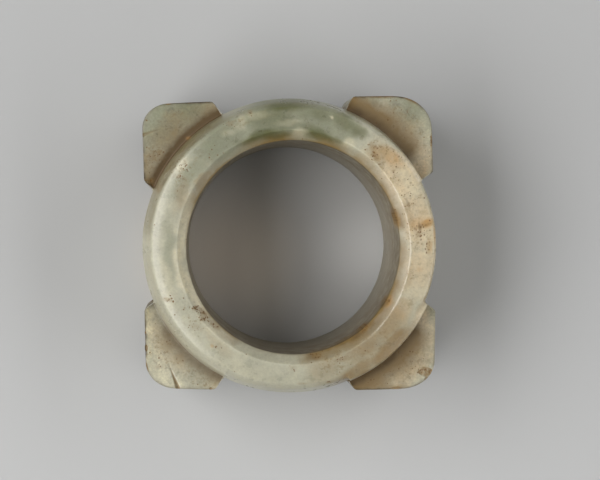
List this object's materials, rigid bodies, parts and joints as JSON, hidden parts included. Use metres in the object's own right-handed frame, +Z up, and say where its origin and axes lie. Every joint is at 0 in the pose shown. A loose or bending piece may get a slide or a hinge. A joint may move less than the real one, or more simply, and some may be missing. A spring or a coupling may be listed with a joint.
{
  "type": "jade thumb ring",
  "caption": "Squat cong-shaped thumb ring of carved jade: a wide bore in a rounded collar, set in corner blocks with open channels between them.",
  "frame": {"origin": "centre of the underside, under the middle of the ring's outline and close to the axis of its bore", "axes": "+Z up along the bore, out of the face that the picture shows; +X to the picture's right and +Y to its top, across the sides of the square"},
  "size_m": [0.0308, 0.0312, 0.016],
  "materials": {
    "jade": "worn soft polish on pale grey-green to buff nephrite, with brown earth stains in the hollows and along the bore's rim"
  },
  "bodies": {
    "root": {"jade_thumb_ring": "jade"}
  },
  "joints": []
}
